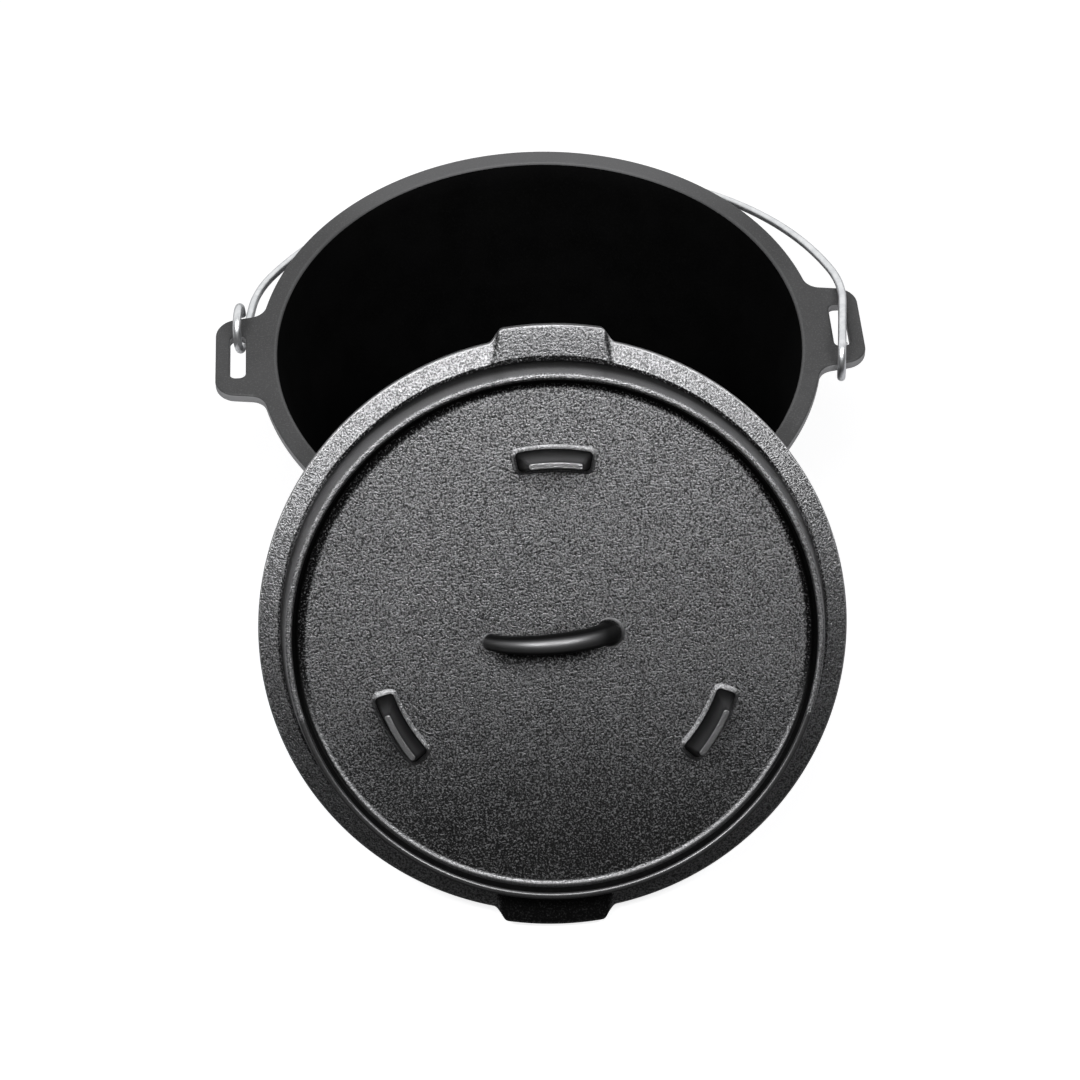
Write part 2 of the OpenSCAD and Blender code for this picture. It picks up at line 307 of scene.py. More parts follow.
# The pot: rim with two ears, bowl and legs
pot = {
    "mouth": 150.0, "rimWide": 10.7, "lipThick": 6.0, "lipHollow": 4.0, "lipShare": 0.9, "edge": 1.5,
    "border": 0.8, "wall": 5.5, "floorThick": 6.0, "draft": 14.0, "baseRound": 35.0, "poleRadius": 3.0,
    "earReach": 24.0, "earLong": 57.0, "earSpread": 3.5, "earThick": 6.5, "earCorner": 12.5,
    "earHollow": 10.0, "earFrom": -4.0, "earTo": 6.0,
    "slotWide": 9.0, "slotLong": 33.0, "slotCorner": 3.6, "outerBar": 8.2,
    "columns": 240, "step": 12.0, "edgeRows": 6, "sidePoints": 6, "cornerPoints": 12, "hollowPoints": 14,
    "rimPoints": 56, "slotPoints": 8,
}
potWearAndShade = {  # shares of grain, wear, painted highlights and painted shade, and where they change
    "rimGrain": 0.8, "floorGrain": 0.4, "outsideGrain": 0.7, "mouthWorn": 0.12, "mouthDeep": 4.0,
    "farSheen": 0.38, "farFrom": 0.5, "sideFrom": 0.5, "shadeBelow": 0.4,
}
potLook = {
    "sandSize": 0.9, "sandHigh": 0.11, "smoothHigh": 0.02, "dustSize": 0.35, "dustHigh": 0.02,
    "cloudSize": 26.0, "cloudLow": 0.3, "cloudHigh": 0.7, "speckLow": 0.5, "speckHigh": 0.7,
    "dark": 0.044, "light": 0.055, "speck": 0.088, "worn": 0.3, "wearAndSheenShare": 0.85,
    "paintedShade": 0.004, "shadeSpeck": 0.6, "shadeCover": 0.12, "shadeRough": 0.3,
    "rough": 0.5, "roughSpread": 0.1, "gloss": 0.4, "metal": 0.0,
}
# painted shade: a far darker copy of the iron for the pot's inside, partly the seasoning's black and partly
# the shade inside the pot
insideShadeLook = dict(potLook, dark=0.0015, light=0.0025, speck=0.004, worn=0.008, rough=0.6, gloss=0.03)
rimR = pot["mouth"] + pot["rimWide"]
earEndX = rimR + pot["earReach"]
slotX = earEndX - pot["outerBar"] - pot["slotWide"] / 2


def earHalf(x):  # half an ear's length at a distance from the middle of the pot
    return pot["earLong"] / 2 + (earEndX - x) * pot["earSpread"] / pot["earReach"]


def earOutline(inset):  # the rim and both ears from above, drawn in by inset, from +X round to +X
    hollow, corner = pot["earHollow"], pot["earCorner"]
    out = unit(np.array([pot["earSpread"] / pot["earReach"], 1.0]))  # square to the ear's side
    along = np.array([out[1], -out[0]])
    sideD = out @ (earEndX, pot["earLong"] / 2)
    sideTurn = math.atan2(out[1], out[0])
    hollowMid = out * (sideD + hollow) + along * math.sqrt((rimR + hollow) ** 2 - (sideD + hollow) ** 2)
    meet = math.atan2(hollowMid[1], hollowMid[0])
    cornerMid = np.array([earEndX - corner, (sideD - corner - out[0] * (earEndX - corner)) / out[1]])
    points = [np.array([earEndX - inset, y]) for y in np.linspace(0, cornerMid[1], pot["sidePoints"])[:-1]]
    points += arc(cornerMid, corner - inset, 0, sideTurn, pot["cornerPoints"])
    start, end = points[-1], hollowMid - out * (hollow + inset)
    points += [start + (end - start) * share for share in np.linspace(0, 1, pot["sidePoints"])[1:-1]]
    points += arc(hollowMid, hollow + inset, sideTurn - math.pi, meet - math.pi, pot["hollowPoints"])
    points += arc(np.zeros(2), rimR - inset, meet, math.pi / 2, pot["rimPoints"])[1:]
    quarter = np.array(points)
    upper = np.vstack([quarter, quarter[::-1][1:] * (-1, 1)])
    return np.vstack([upper, (upper * (1, -1))[::-1][1:-1]])


def arc(middle, radius, start, end, count):
    turns = np.linspace(start, end, count + 1)
    return [middle + radius * np.array([math.cos(turn), math.sin(turn)]) for turn in turns]


def slotOutline(side, grown):  # a slot's edge, drawn outwards by grown
    halfX, halfY = pot["slotWide"] / 2 - pot["slotCorner"], pot["slotLong"] / 2 - pot["slotCorner"]
    radius = pot["slotCorner"] + grown
    points = []
    for quarter, (x, y) in enumerate([(halfX, halfY), (-halfX, halfY), (-halfX, -halfY), (halfX, -halfY)]):
        start = quarter * math.pi / 2
        points += arc(np.array([x, y]), radius, start, (quarter + 1) * math.pi / 2, pot["slotPoints"])
    return (np.array(points) + (slotX, 0)) * (side, side)


def roundRows(edge, top, bottom, count):  # (inset, height) down a rounded edge, side and lower edge
    turns = np.linspace(0, math.pi / 2, count + 1)
    upper = [(edge * (1 - math.sin(t)), top - edge * (1 - math.cos(t))) for t in turns]
    lower = [(edge * (1 - math.sin(t)), bottom + edge * (1 - math.cos(t))) for t in turns[::-1]]
    return upper + lower


def inside(loop, points):  # which points lie within a closed outline
    x, y = points[:, 0], points[:, 1]
    result = np.zeros(len(points), bool)
    for (ax, ay), (bx, by) in zip(loop, np.roll(loop, -1, axis=0)):
        crosses = (ay > y) != (by > y)
        with np.errstate(divide="ignore", invalid="ignore"):
            result ^= crosses & (x < ax + (y - ay) * (bx - ax) / (by - ay))
    return result


def flatFaces(borders, upward, tiny=1e-6):  # fills between an outer loop and the loops inside it
    loops, firsts = zip(*borders)
    spots = np.vstack(loops)
    names = np.concatenate([first + np.arange(len(loop)) for loop, first in zip(loops, firsts)])
    edges, start = [], 0
    for loop in loops:
        edges += [(start + i, start + (i + 1) % len(loop)) for i in range(len(loop))]
        start += len(loop)
    _, _, faces, origin, _, _ = delaunay_2d_cdt([Vector(spot) for spot in spots], edges, [], 0, tiny)
    faces = np.array([[origin[v][0] for v in face] for face in faces])
    middles = spots[faces].mean(axis=1)
    keep = inside(loops[0], middles)
    for loop in loops[1:]:
        keep &= ~inside(loop, middles)
    a, b, c = (spots[faces[:, i]] for i in range(3))
    ccw = (b[:, 0] - a[:, 0]) * (c[:, 1] - a[:, 1]) - (b[:, 1] - a[:, 1]) * (c[:, 0] - a[:, 0]) > 0
    return [names[face if turn == upward else face[::-1]].tolist()
            for face, turn, kept in zip(faces, ccw, keep) if kept]


class Shell:  # collects the rows of one closed mesh
    def __init__(self):
        self.points = []
        self.faces = []
        self.kinds = []
        self.traits = {"grain": [], "worn": [], "paintedShade": []}

    def add(self, points, grain=0.0, worn=0.0, paintedShade=0.0):
        first = len(self.points)
        self.points += np.asarray(points, float).tolist()
        for trait, value in zip(self.traits, (grain, worn, paintedShade)):
            self.traits[trait] += np.broadcast_to(value, len(points)).tolist()
        return first

    def fill(self, faces, kind=0):
        self.faces += faces
        self.kinds += [kind] * len(faces)

    def join(self, upper, lower, count, kind=0, flip=False):  # two rows seen from outside, upper one first
        faces = [[upper + i, lower + i, lower + (i + 1) % count, upper + (i + 1) % count]
                 for i in range(count)]
        self.fill([face[::-1] for face in faces] if flip else faces, kind)

    def cap(self, row, count, point, grain, kind=0, flip=False):  # closes a row with a fan to one point
        pole = self.add([point], grain=grain)
        pairs = [(row + i, row + (i + 1) % count) for i in range(count)]
        self.fill([[b, a, pole] if flip else [a, b, pole] for a, b in pairs], kind)


def lifted(loop, height):
    return np.column_stack([loop, np.broadcast_to(height, len(loop))])


def earUnder(loop):  # height of the underside: the ears are a little thicker than the rim
    share = smooth(rimR + pot["earFrom"], rimR + pot["earTo"], np.linalg.norm(loop, axis=1))
    return rimZ - pot["lipThick"] - (pot["earThick"] - pot["lipThick"]) * share


def farSheen(points):  # painted highlight: the rim is paler on the side away from the lid
    points = np.asarray(points)
    back = points[:, 1] / np.linalg.norm(points[:, :2], axis=1)
    return potWearAndShade["farSheen"] * smooth(potWearAndShade["farFrom"], 1.0, back)


def addEdge(shell, loopAt, hole):  # a rounded edge, from the top face's border down to the underside's
    edge, thick = pot["edge"], pot["lipThick"]
    border = edge + pot["border"]
    count, under = len(loopAt(0)), earUnder(loopAt(0))
    borders = []
    for inset, drop in [(border, 0.0), *roundRows(edge, 0.0, -thick, pot["edgeRows"]), (border, -thick)]:
        loop = loopAt(inset)
        height = rimZ + drop * (rimZ - under) / thick
        sideSheen = float(-thick < drop < -potWearAndShade["sideFrom"] * edge)  # painted highlight on the sides, below the top's edge
        row = shell.add(lifted(loop, height), grain=potWearAndShade["rimGrain"],
                        worn=np.maximum(sideSheen, farSheen(loop)))
        if borders:
            shell.join(borders[-1][1], row, count, flip=hole)
        borders.append((loop, row))
    return borders[0], borders[-1]


def buildPot():
    shell = Shell()
    mouth, edge, innerFloor, columns = pot["mouth"], pot["edge"], pot["floorThick"], pot["columns"]
    slope = math.tan(math.radians(pot["draft"]))
    outAdd = pot["wall"] / math.cos(math.radians(pot["draft"]))
    angles = np.linspace(0, 2 * math.pi, columns, endpoint=False)
    circle = np.column_stack([np.cos(angles), np.sin(angles)])
    edges = [addEdge(shell, earOutline, False)]
    edges += [addEdge(shell, lambda grown, side=side: slotOutline(side, grown), True) for side in (1, -1)]
    # inner side: rounded mouth edge, wall, rounding and floor
    path, bends = roundedPath([(mouth + edge + pot["border"], rimZ, 0), (mouth, rimZ, edge),
                               (mouth - (rimZ - innerFloor) * slope, innerFloor, pot["baseRound"]),
                               (pot["poleRadius"], innerFloor, 0)], pot["step"])
    points = turned(path, angles)
    nearTop = np.repeat(path[:, 1] > rimZ - potWearAndShade["mouthDeep"], columns)
    paleEdge = np.repeat(potWearAndShade["mouthWorn"] * (bends != 0), columns)
    first = shell.add(points, grain=potWearAndShade["rimGrain"], worn=nearTop * np.maximum(paleEdge, farSheen(points)))
    for row in range(len(path) - 1):
        # below the mouth's edge the inside takes the darker painted-shade copy
        shadedInside = path[row + 1, 1] < rimZ - edge - potWearAndShade["shadeBelow"]
        shell.join(first + row * columns, first + (row + 1) * columns, columns, int(shadedInside), flip=True)
    lastRow = first + (len(path) - 1) * columns
    shell.cap(lastRow, columns, (0, 0, innerFloor), potWearAndShade["floorGrain"], kind=1)
    shell.fill(flatFaces([top for top, low in edges] + [(circle * path[0, 0], first)], True))
    # outer side: hollow under the lip, wall, rounding and underside
    lipZ = rimZ - pot["lipThick"]
    lipR = mouth - (rimZ - lipZ) * slope + outAdd
    path, _ = roundedPath([(lipR + pot["lipShare"] * pot["lipHollow"], lipZ, 0),
                           (lipR, lipZ, pot["lipHollow"]),
                           (mouth - rimZ * slope + outAdd, 0, pot["baseRound"] + pot["wall"]),
                           (pot["poleRadius"], 0, 0)], pot["step"])
    first = shell.add(turned(path, angles), grain=potWearAndShade["outsideGrain"])
    shell.fill(gridFaces(len(path), columns, first))
    lastRow = first + (len(path) - 1) * columns
    shell.cap(lastRow, columns, (0, 0, 0), potWearAndShade["outsideGrain"], flip=True)
    shell.fill(flatFaces([low for top, low in edges] + [(circle * path[0, 0], first)], False))
    return shell


def finishShell(name, shell, materials):
    piece = addMesh(name, shell.points, shell.faces, materials[0], shell.traits)
    for material in materials[1:]:
        piece.data.materials.append(material)
    piece.data.polygons.foreach_set("material_index", np.array(shell.kinds, np.int32))
    return piece


potIron = castIron("potIron", potLook)
potInsideShade = castIron("potInsideShade", insideShadeLook)
potBody = finishShell("potBody", buildPot(), [potIron, potInsideShade])
print("pot body:", len(potBody.data.polygons), "faces")


legs = {"count": 3, "tip": 8.0, "root": 11.0, "circle": 82.0, "hollow": 4.0, "sole": 2.0, "poleRadius": 0.8,
        "rootZ": -0.15, "sunk": 0.6, "columns": 40, "step": 3.0}


def buildLeg():  # one leg at +Y, from a hollow at the underside to a rounded sole
    tip, root, hollow, rootZ = legs["tip"], legs["root"], legs["hollow"], legs["rootZ"]
    columns, grain = legs["columns"], potWearAndShade["outsideGrain"]
    taper = (root - tip) / (pot["floorThick"] / 2 - groundZ)
    path, bends = roundedPath([(root + hollow, rootZ, 0), (tip + (rootZ - groundZ) * taper, rootZ, hollow),
                               (tip, groundZ, legs["sole"]), (legs["poleRadius"], groundZ, 0)], legs["step"])
    angles = np.linspace(0, 2 * math.pi, columns, endpoint=False)
    shell = Shell()
    shell.add(turned(path, angles), grain=grain, worn=np.repeat(bends > 0, columns))
    shell.fill(gridFaces(len(path), columns))
    shell.cap((len(path) - 1) * columns, columns, (0, 0, groundZ), grain, flip=True)
    shell.cap(0, columns, (0, 0, rootZ + legs["sunk"]), grain)
    shell.points = (np.array(shell.points) + (0, legs["circle"], 0)).tolist()
    return shell


copyRing = ringTree("ringOfCopies")
potLegs = grow(finishShell("potLegs", buildLeg(), [potIron]), copyRing,
               {"Count": legs["count"], "Turn": math.tau / legs["count"], "Material": potIron})
print("legs:", len(potLegs.data.polygons), "faces")


# The lid: drawn flat with its seat at height 0, then leaned against the rim
lid = {
    "radius": 160.0, "flangeThick": 6.0, "flangeWide": 12.3, "flangeRise": 3.0, "stepHigh": 25.0,
    "stepLean": 3.6, "crestWide": 3.2, "trayDeep": 9.5, "trayLean": 2.3, "plateThick": 5.0,
    "ringRadius": 148.2, "ringThick": 5.4, "ringDrop": 3.5, "ringHollow": 0.4, "ringRound": 1.0,
    "hollowRound": 6.0, "edge": 0.9, "crestRound": 1.4, "stepHollow": 2.2, "trayHollow": 3.4,
    "tabReach": 6.5, "tabEnd": 54.0, "tabRoot": 62.0, "tabHigh": 8.5, "tabLean": 3.0, "tabHollow": 7.0,
    "tabEdge": 0.3, "tabFoot": 0.6, "tabInset": 2.0, "tabSharp": 0.6,
    "middleX": -3.6, "turn": -2.4, "restGap": 0.3,
    "poleRadius": 2.0, "step": 4.0, "borderRows": (9.0, 7.5, 6.0, 4.5),
    "columnTurn": 1.2, "tabColumns": (6.5, 15.01, 0.25), "columnGap": 0.001,
}
lidWearAndShade = {  # shares of grain, wear, painted highlights and painted shade, where they lie and how they fade
    "sideGrain": 0.15, "underGrain": 0.6, "lowTabGrain": 0.4, "crestGrainFrom": -0.3,
    "hollowSheen": 0.4, "flangeWorn": 0.14, "wallSheen": 0.5, "crestWorn": 0.3,
    "trayShade": 0.97, "plateLowShade": 0.7, "underHandleShadow": 0.97, "wallCornerShade": 0.95, "lowTabShade": 0.93,
    "creaseShade": 0.85, "creaseIn": (-0.4, 0.6), "creaseOut": (1.6, 2.8),
    "plateBorder": 1.2, "plateBelow": 0.1, "flangeLow": 1.0, "tabPart": 0.5, "hollowHigh": 0.5,
    "trayLow": 0.8, "crestOver": 0.2, "crestDeep": 1.5, "wallOver": 1.6, "wallBelow": 0.6,
    "upper": (-0.5, -0.05), "border": 3.0, "borderMore": 1.6, "borderTurn": 2.6, "borderWide": (0.6, 1.0),
    "borderIn": 0.8, "borderOut": 0.4, "borderHigh": 4.0,
    "cornerHigh": 3.0, "cornerMore": 13.0, "cornerWhere": (0.5, 1.0), "cornerFade": 6.0, "wallFade": 4.0,
    "shadowLong": (16, 34), "shadowLeft": 4, "shadowLow": (-17, -8), "shadowHigh": (-2, 4),
}
lidLook = dict(potLook, sandSize=1.0, sandHigh=0.4, smoothHigh=0.01, dustSize=0.4, dustHigh=0.012,
               cloudSize=34.0, speckLow=0.36, speckHigh=0.66, dark=0.045, light=0.055, speck=0.35,
               worn=0.45, wearAndSheenShare=0.8, shadeRough=0.25, rough=0.34, roughSpread=0.03, gloss=0.5, metal=1.0)
smoothLook = dict(lidLook, dark=0.05, light=0.065, speck=0.2, worn=0.42, smoothHigh=0.02, rough=0.31)
# The handle's values come before the lid's surface, which carries a painted shadow under the handle
handle = {
    "thick": 11.5, "span": 64.0, "below": 1.0, "x": -2.6, "turn": 4.0, "leftShare": 0.74, "rightShare": 1.06,
    "fullShare": 0.45, "flareLeft": 0.8, "flareRight": 2.6, "flareHigh": 4.5, "sunk": 0.8,
    "sides": 28, "endShare": 0.16, "endRows": 12, "middleRows": 34,
}
handleWearAndShade = {"grainFrom": 0.75, "worn": (0.8, 0.97), "shadeEnds": (0.8, 0.95), "sideShade": 0.97,
              "sides": (0.2, 0.75), "rightShade": 0.9, "right": (0.1, 0.32)}
handleLook = dict(smoothLook, dark=0.21, light=0.25, worn=0.6, rough=0.38)
lean = math.atan2(-joints["lid_lift"]["axis"][1], joints["lid_lift"]["axis"][2])
stepZ = lid["flangeThick"] + lid["flangeRise"]
crestZ = stepZ + lid["stepHigh"]
plateZ = crestZ - lid["trayDeep"]
underZ = plateZ - lid["plateThick"]
stepR = lid["radius"] - lid["flangeWide"]
crestR = stepR - lid["stepLean"]
trayR = crestR - lid["crestWide"]
plateR = trayR - lid["trayLean"]
touch = 0.01  # heights and distances this close count as the same
lidMidZ = (lid["radius"] + lid["tabReach"]) * math.sin(lean) + groundZ
lidMidY = ((lidMidZ - rimZ) * math.cos(lean) + underZ - lid["restGap"]) / math.sin(lean) - rimR
lidPlace = (Matrix.Translation(Vector((lid["middleX"], lidMidY, lidMidZ)) * mm)
            @ Matrix.Rotation(lean, 4, "X") @ Matrix.Rotation(math.radians(lid["turn"]), 4, "Z"))


def lidAngles():  # closer together beside the tabs, where the sides turn
    coarse = np.radians(np.arange(0, 360, lid["columnTurn"]))
    near = np.radians(np.arange(*lid["tabColumns"]))
    fine = [axis + way * near for axis in (math.pi / 2, 1.5 * math.pi) for way in (-1, 1)]
    everything = np.sort(np.concatenate([coarse] + fine) % (2 * math.pi))
    return everything[np.append(True, np.diff(everything) > lid["columnGap"])]


def lidPath():  # the casting's outline, from the plate's middle over the crest to the underside's middle
    radius, ringR, ringZ = lid["radius"], lid["ringRadius"], -lid["ringDrop"]
    hollowR = ringR - lid["ringThick"]
    corners = [(lid["poleRadius"], plateZ, 0)]
    corners += [(plateR - inset, plateZ, 0) for inset in lid["borderRows"]]
    corners += [(plateR, plateZ, lid["trayHollow"]), (trayR, crestZ, lid["crestRound"]),
                (crestR, crestZ, lid["crestRound"]), (stepR, stepZ, lid["stepHollow"]),
                (radius, lid["flangeThick"], lid["edge"]), (radius, 0, lid["edge"]),
                (ringR, 0, lid["ringHollow"]), (ringR, ringZ, lid["ringRound"]),
                (hollowR, ringZ, lid["ringRound"]), (hollowR - lid["stepLean"], underZ, lid["hollowRound"]),
                (lid["poleRadius"], underZ, 0)]
    return roundedPath(corners, lid["step"])


class LidCast:  # rows along the outline and columns round the axis
    def __init__(self):
        path, bends = lidPath()
        self.angles = lidAngles()
        self.across, self.up, self.bends = path[:, :1], path[:, 1:], bends[:, None]
        self.sin = np.sin(self.angles)
        self.x, self.y = self.across * np.cos(self.angles), self.across * self.sin
        order = np.arange(len(path))[:, None]
        crestAt, ringAt = np.argmax(path[:, 1]), np.argmin(path[:, 1])
        self.inner, self.outer = order < crestAt, order > crestAt
        self.before, self.under = order < ringAt, order > ringAt
        self.flange = self.outer & self.before & (self.across > stepR - touch)
        self.setTabs()
        self.setZones()

    def setTabs(self):  # how far each point belongs to a lifting tab
        tabEnd, tabRoot = lid["tabEnd"] / 2, lid["tabRoot"] / 2
        fromTab = np.minimum(np.abs(self.angles - math.pi / 2), np.abs(self.angles - 1.5 * math.pi))
        self.side = self.across * np.sin(np.minimum(fromTab, math.pi / 2))  # from the tabs' middle line
        self.outward = np.clip((self.across - stepR) / lid["flangeWide"], 0, 1) * self.flange
        self.topLine = lid["flangeThick"] + lid["flangeRise"] * (1 - self.outward)
        self.high = np.clip(self.up / self.topLine, 0, 1) * self.flange
        self.half = tabRoot + (tabEnd - tabRoot) * self.outward
        footHalf = self.half + lid["tabLean"] - lid["tabFoot"]
        self.face = 1 - smooth(self.half - lid["tabEdge"], footHalf, self.side)
        self.reach = 1 - smooth(tabEnd - lid["tabInset"], tabEnd + lid["tabHollow"], self.side)

    def setZones(self):
        across, up = self.across, self.up
        self.flangeTop = self.flange & (up > lidWearAndShade["flangeLow"])
        onCrest = np.abs(across - (crestR + trayR) / 2) < lid["crestWide"] / 2 + lidWearAndShade["crestOver"]
        self.crest = onCrest & (up > crestZ - lidWearAndShade["crestDeep"])
        onWall = (across < stepR + lidWearAndShade["wallOver"]) & (up > stepZ - lidWearAndShade["wallBelow"])
        self.wall = self.outer & onWall & ~self.crest
        self.hollow = self.inner & (self.bends < 0) & (up < plateZ + lidWearAndShade["hollowHigh"])
        self.upper = smooth(*lidWearAndShade["upper"], self.sin)
        self.lowTab = self.face * (self.high > lidWearAndShade["tabPart"]) * (self.sin < 0)
        # the wall's painted shade reaches higher on the lid's upper side
        cornerMore = lidWearAndShade["cornerMore"] * smooth(*lidWearAndShade["cornerWhere"], self.sin)
        self.cornerTop = stepZ + lidWearAndShade["cornerHigh"] + cornerMore

    def points(self):
        radius, thick, edge = lid["radius"], lid["flangeThick"], lid["edge"]
        rounding = self.flange & (self.across > radius - edge) & (self.up > thick - edge)
        sharpen = lid["tabSharp"] * self.reach * rounding  # the tabs' outer edges are crisper
        up = self.up + sharpen * (thick - self.up) + self.high * self.face * (lid["tabHigh"] - self.topLine)
        across = self.across + sharpen * (radius - self.across) + lid["tabReach"] * self.reach * self.outward
        return np.stack([across * np.cos(self.angles), across * self.sin, up], axis=-1)

    def grain(self):
        plate = (self.across < plateR - lidWearAndShade["plateBorder"]) & (self.up > plateZ - lidWearAndShade["plateBelow"])
        grain = np.where(plate | self.flangeTop, 1.0, lidWearAndShade["sideGrain"])
        grain = np.where(self.under, lidWearAndShade["underGrain"], grain)
        grain = np.where(self.lowTab > lidWearAndShade["tabPart"], lidWearAndShade["lowTabGrain"], grain)
        return np.where(self.hollow | self.crest & (self.sin > lidWearAndShade["crestGrainFrom"]), 1.0, grain)

    def worn(self):
        worn = np.maximum((self.bends > 0) & self.before, lidWearAndShade["flangeWorn"] * self.flangeTop)
        # painted highlight on the tray's hollow, only on the lid's lower side
        worn = np.where(self.hollow, lidWearAndShade["hollowSheen"] * (1 - self.upper), worn)
        # painted highlight: the step's wall grows paler towards the crest
        wallSheen = lidWearAndShade["wallSheen"] * smooth(self.cornerTop - lidWearAndShade["wallFade"], crestZ, self.up)
        return np.where(self.wall, wallSheen, np.where(self.crest, lidWearAndShade["crestWorn"], worn))

    # painted shadow of the handle, on the plate just below it
    def handleShadow(self):
        turn, x = math.radians(handle["turn"]), self.x - handle["x"]
        along = x * math.cos(turn) + self.y * math.sin(turn)
        above = self.y * math.cos(turn) - x * math.sin(turn)
        shadow = 1 - smooth(*lidWearAndShade["shadowLong"], np.abs(along + lidWearAndShade["shadowLeft"]))
        return shadow * smooth(*lidWearAndShade["shadowLow"], above) * (1 - smooth(*lidWearAndShade["shadowHigh"], above))

    def paintedShade(self):
        flat = self.inner & (self.up < plateZ + touch)
        wide = smooth(*lidWearAndShade["borderWide"], np.cos(self.angles - lidWearAndShade["borderTurn"]))
        borderR = plateR - lidWearAndShade["border"] - lidWearAndShade["borderMore"] * wide
        border = smooth(borderR - lidWearAndShade["borderIn"] - wide, borderR + lidWearAndShade["borderOut"], self.across)
        border = border * self.upper * (self.inner & (self.up < plateZ + lidWearAndShade["borderHigh"]))
        paintedShade = np.maximum.reduce([lidWearAndShade["trayShade"] * border,  # painted shadow on the tray's upper border, widest at its left
                                  # painted shade: the plate grows darker towards its bottom
                                  lidWearAndShade["plateLowShade"] * smooth(0, plateR, -self.y) * flat,
                                  lidWearAndShade["underHandleShadow"] * self.handleShadow() * flat])
        # painted shade on the tray's inner wall
        trayWall = self.inner & (self.up > plateZ + lidWearAndShade["trayLow"]) & (self.bends == 0)
        paintedShade = np.where(trayWall, lidWearAndShade["trayShade"], paintedShade)
        corner = 1 - smooth(self.cornerTop - lidWearAndShade["cornerFade"], self.cornerTop, self.up)
        paintedShade = np.where(self.wall, lidWearAndShade["wallCornerShade"] * corner, paintedShade)  # painted shade, darkest in the corner
        # painted shade in the creases beside the tabs' raised faces
        crease = smooth(*(self.half + limit for limit in lidWearAndShade["creaseIn"]), self.side)
        crease = crease * (1 - smooth(*(self.half + limit for limit in lidWearAndShade["creaseOut"]), self.side))
        # painted shade on the lower tab's face
        return np.maximum.reduce([np.where(self.crest, 0.0, paintedShade), lidWearAndShade["lowTabShade"] * self.lowTab,
                                  lidWearAndShade["creaseShade"] * crease * (self.high > lidWearAndShade["tabPart"])])


def buildLid():
    cast, shell = LidCast(), Shell()
    points = cast.points()
    rows, columns = points.shape[:2]
    traits = [cast.grain(), cast.worn(), cast.paintedShade()]
    shell.add(points.reshape(-1, 3), *(np.broadcast_to(trait, (rows, columns)).ravel() for trait in traits))
    shell.fill(gridFaces(rows, columns))
    shell.cap(0, columns, (0, 0, plateZ), 1.0)
    shell.cap((rows - 1) * columns, columns, (0, 0, underZ), lidWearAndShade["underGrain"], flip=True)
    return shell


lidIron = castIron("lidIron", lidLook)
lidSmooth = castIron("lidSmooth", smoothLook)
lidBody = finishShell("lidBody", buildLid(), [lidIron])
print("lid body:", len(lidBody.data.polygons), "faces")

feet = {
    "count": 3, "circle": 97.5, "high": 24.0, "long": 40.0, "tipLong": 28.5, "wide": 10.0, "tipWide": 3.5,
    "hollow": 2.6, "corner": 2.0, "cornerLess": 0.6, "cornerGap": 0.05, "tipRound": 0.5, "tipBorder": 0.4,
    "sunk": 0.6, "hollowRows": 8, "sideRows": 7, "tipRows": 5, "cornerPoints": 6, "sidePoints": 11,
}
feetWearAndShade = {"lowHigh": 1.2, "lowSheen": 0.4, "tipGrain": 0.7, "tipGrainDeep": 0.1, "tipWornDeep": 0.3,
            "paintedShade": 0.85, "shadeFade": (6.0, 20.0)}


def footRows():  # (height, spread) of the rows from the plate to the tip
    hollow, tipRound, high = feet["hollow"], feet["tipRound"], feet["high"]
    rows = [(-feet["sunk"], hollow)]
    rows += [(hollow * (1 - math.cos(t)), hollow * (1 - math.sin(t)))
             for t in np.linspace(0, math.pi / 2, feet["hollowRows"])]
    rows += [(h, 0.0) for h in np.linspace(hollow, high - tipRound, feet["sideRows"])[1:]]
    rows += [(high - tipRound * (1 - math.sin(t)), -tipRound * (1 - math.cos(t)))
             for t in np.linspace(0, math.pi / 2, feet["tipRows"])[1:]]
    return rows + [(high, -tipRound - feet["tipBorder"])]


def footOutline(halfLong, halfWide, corner):  # a rounded oblong, counter-clockwise
    points = []
    corner = min(corner, halfWide - feet["cornerGap"])
    for quarter, (x, y) in enumerate([(1, 1), (-1, 1), (-1, -1), (1, -1)]):
        middle = np.array([x * (halfLong - corner), y * (halfWide - corner)])
        start = quarter * math.pi / 2
        points += arc(middle, corner, start, (quarter + 1) * math.pi / 2, feet["cornerPoints"])
        if quarter % 2 == 0:  # the long sides need points, because they are bent
            end = middle * (-1, 1) + (0, y * corner)
            shares = np.linspace(0, 1, feet["sidePoints"])[1:-1]
            points += [points[-1] + (end - points[-1]) * share for share in shares]
    return np.array(points)


def footTraits(height):
    low, high = height < feetWearAndShade["lowHigh"], feet["high"]
    grain = float(low)
    # painted highlight on the fillet round the foot's base
    worn = feetWearAndShade["lowSheen"] * low
    if height > high - feetWearAndShade["tipGrainDeep"]:
        grain = feetWearAndShade["tipGrain"]
    if height > high - feetWearAndShade["tipWornDeep"]:
        worn = 1.0
    # painted shade on the foot's walls, darkest near the plate
    paintedShade = 0.0 if low else feetWearAndShade["paintedShade"] * (1 - smooth(*feetWearAndShade["shadeFade"], height))
    return grain, worn, paintedShade


